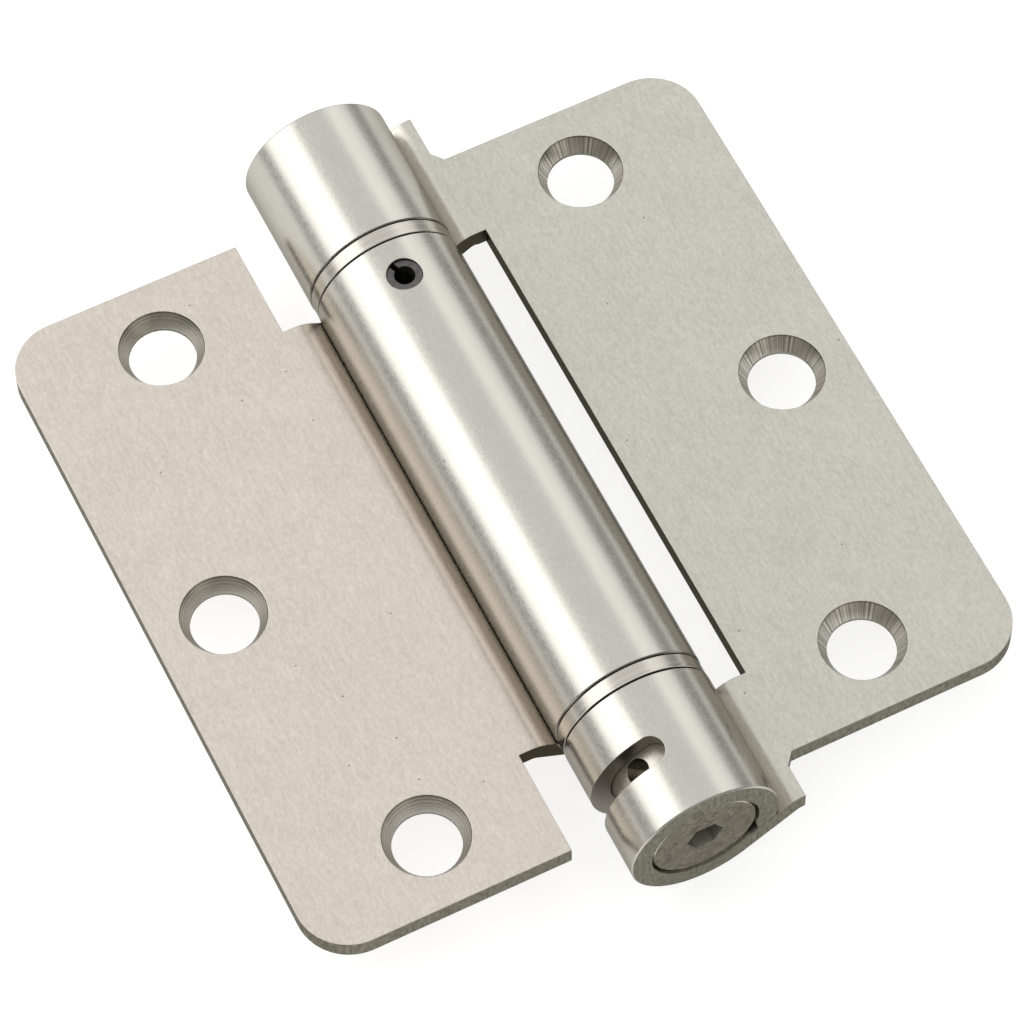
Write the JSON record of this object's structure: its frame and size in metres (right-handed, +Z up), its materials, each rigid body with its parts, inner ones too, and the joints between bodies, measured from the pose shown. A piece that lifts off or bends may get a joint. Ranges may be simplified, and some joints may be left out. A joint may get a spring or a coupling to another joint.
{
  "type": "spring door hinge",
  "caption": "Full-mortise spring hinge with a rolled barrel, radius-corner leaves, countersunk screw holes and a tension ferrule.",
  "frame": {"origin": "on the surface the hinge lies on, below the middle of the barrel's axis; the middle of the leaves is at Y = -0.7 mm", "axes": "+Y along the barrel from the tension end to the capped end, +X across to the leaf with the two end knuckles, +Z up, out of the countersunk faces"},
  "size_m": [0.0888, 0.1016, 0.0184],
  "materials": {
    "leaf_steel": "satin brushed stainless sheet",
    "ring_steel": "turned and polished",
    "turned_steel": "fine turned",
    "black_oxide": "black oxide on spring steel",
    "spring_steel": "oiled spring wire",
    "bush_bronze": "sintered bronze"
  },
  "bodies": {
    "barrel_side": {"barrel_leaf": "leaf_steel", "roll_pin": "black_oxide", "upper_spring_plug": "turned_steel", "lower_journal_bush": "bush_bronze", "torsion_spring": "spring_steel"},
    "knuckle_side": {"end_knuckle_leaf": "leaf_steel", "upper_bearing_ring": "ring_steel", "lower_bearing_ring": "ring_steel", "upper_journal_bush": "bush_bronze", "top_knuckle_cap": "turned_steel"},
    "ferrule": {"tension_ferrule": "turned_steel", "ferrule_retaining_ring": "black_oxide"}
  },
  "joints": [
    {"name": "leaf_swing", "type": "hinge", "parent": "barrel_side", "child": "knuckle_side", "pos_m": [0, 0, 0.0092], "axis": [0, -1, 0], "range_deg": [0, 180]},
    {"name": "tension_turn", "type": "hinge", "parent": "barrel_side", "child": "ferrule", "pos_m": [0, 0, 0.0092], "axis": [0, 1, 0], "range_deg": [0, 180], "stiffness_Nm_per_rad": 0.255, "deforming": ["torsion_spring"]}
  ]
}
